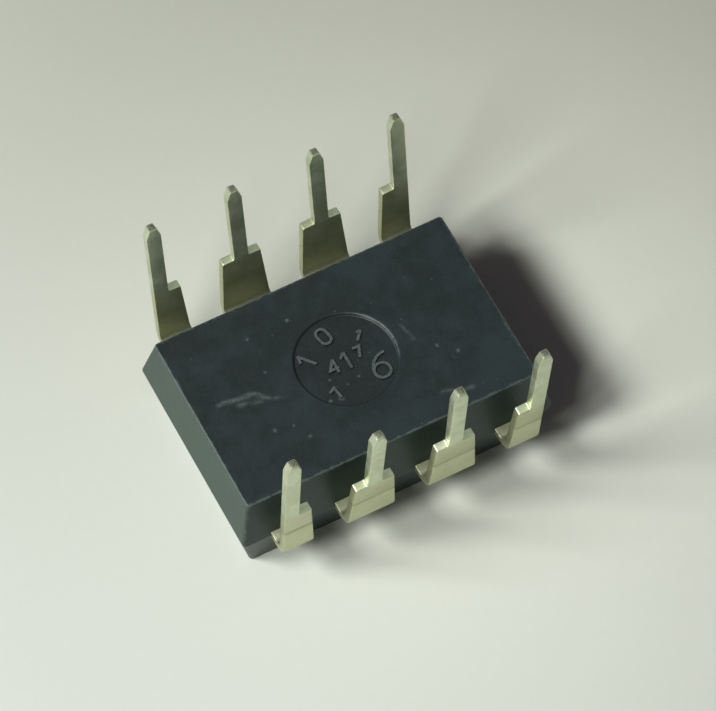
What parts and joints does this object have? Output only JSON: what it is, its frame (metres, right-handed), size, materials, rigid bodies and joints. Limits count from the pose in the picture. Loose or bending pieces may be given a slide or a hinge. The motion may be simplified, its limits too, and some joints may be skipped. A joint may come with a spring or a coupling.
{
  "type": "memory chip",
  "caption": "Plastic dual-in-line memory chip lying on its marked face, with its tinned pins standing up.",
  "frame": {"origin": "centre of the flat marked face that the chip lies on", "axes": "+X along the body to the notched end (pins 1 and 8), +Y from the pin 1 row to the pin 8 row, +Z from the marked face to the pin tips"},
  "size_m": [0.0098, 0.0091, 0.0071],
  "materials": {
    "moulded_epoxy": "matte, lightly scuffed",
    "tin_plate": "dull, slightly yellowed tin plate",
    "lead_frame": "bare, plain",
    "adhesive": "silver-filled, dull",
    "silicon": "polished, dark grey",
    "gold_wire": "bright"
  },
  "bodies": {
    "root": {"moulded_body": "moulded_epoxy", "lead_1": "tin_plate", "lead_2": "tin_plate", "lead_3": "tin_plate", "lead_4": "tin_plate", "lead_5": "tin_plate", "lead_6": "tin_plate", "lead_7": "tin_plate", "lead_8": "tin_plate", "die_pad": "lead_frame", "die_attach": "adhesive", "silicon_die": "silicon", "bond_wire_1": "gold_wire", "bond_wire_2": "gold_wire", "bond_wire_3": "gold_wire", "bond_wire_4": "gold_wire", "bond_wire_5": "gold_wire", "bond_wire_6": "gold_wire", "bond_wire_7": "gold_wire", "bond_wire_8": "gold_wire"}
  },
  "joints": []
}
